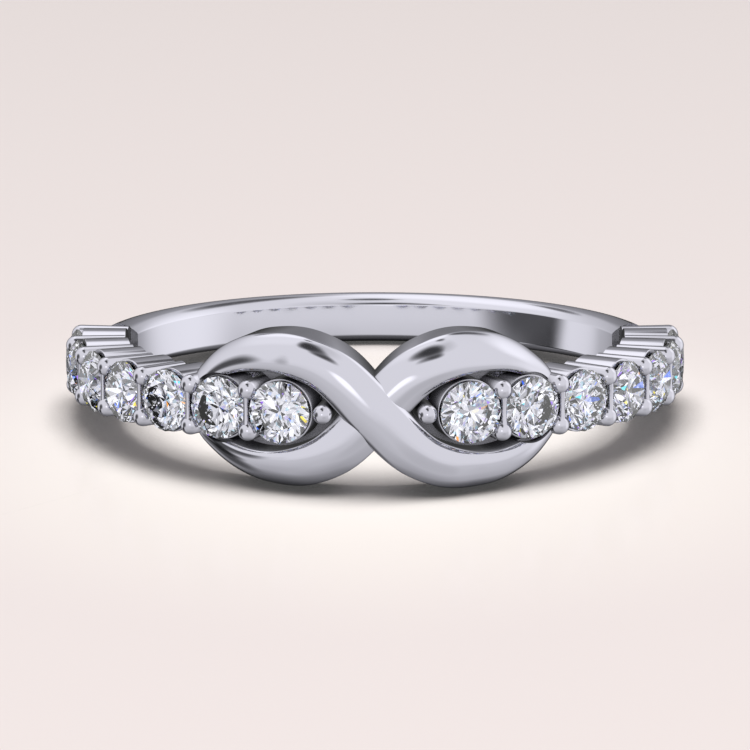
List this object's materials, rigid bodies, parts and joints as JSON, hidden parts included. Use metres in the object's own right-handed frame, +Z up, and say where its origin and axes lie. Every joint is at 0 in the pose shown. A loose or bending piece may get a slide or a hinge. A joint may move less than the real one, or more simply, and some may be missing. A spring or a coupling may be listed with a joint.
{
  "type": "infinity ring",
  "caption": "White gold finger ring with a figure-eight knot at the front, a claw-set row of round diamonds down each side and a plain shank at the back.",
  "frame": {"origin": "centre of the finger hole, halfway along it", "axes": "+Z up as the ring lies on its side, +X to the wearer's right seen from the front, -Y towards the knot at the front. The finger hole's axis leans 5.67 degrees from +Z towards +Y, because the ring rests on its two loops and on the back of its shank."},
  "size_m": [0.0204, 0.0202, 0.0051],
  "materials": {
    "white_gold": "polished white gold, rhodium plated",
    "diamond": "faceted and polished"
  },
  "bodies": {
    "root": {"band": "white_gold", "stone_left_1": "diamond", "stone_left_2": "diamond", "stone_left_3": "diamond", "stone_left_4": "diamond", "stone_left_5": "diamond", "stone_left_6": "diamond", "stone_left_7": "diamond", "stone_right_1": "diamond", "stone_right_2": "diamond", "stone_right_3": "diamond", "stone_right_4": "diamond", "stone_right_5": "diamond", "stone_right_6": "diamond", "stone_right_7": "diamond"}
  },
  "joints": []
}
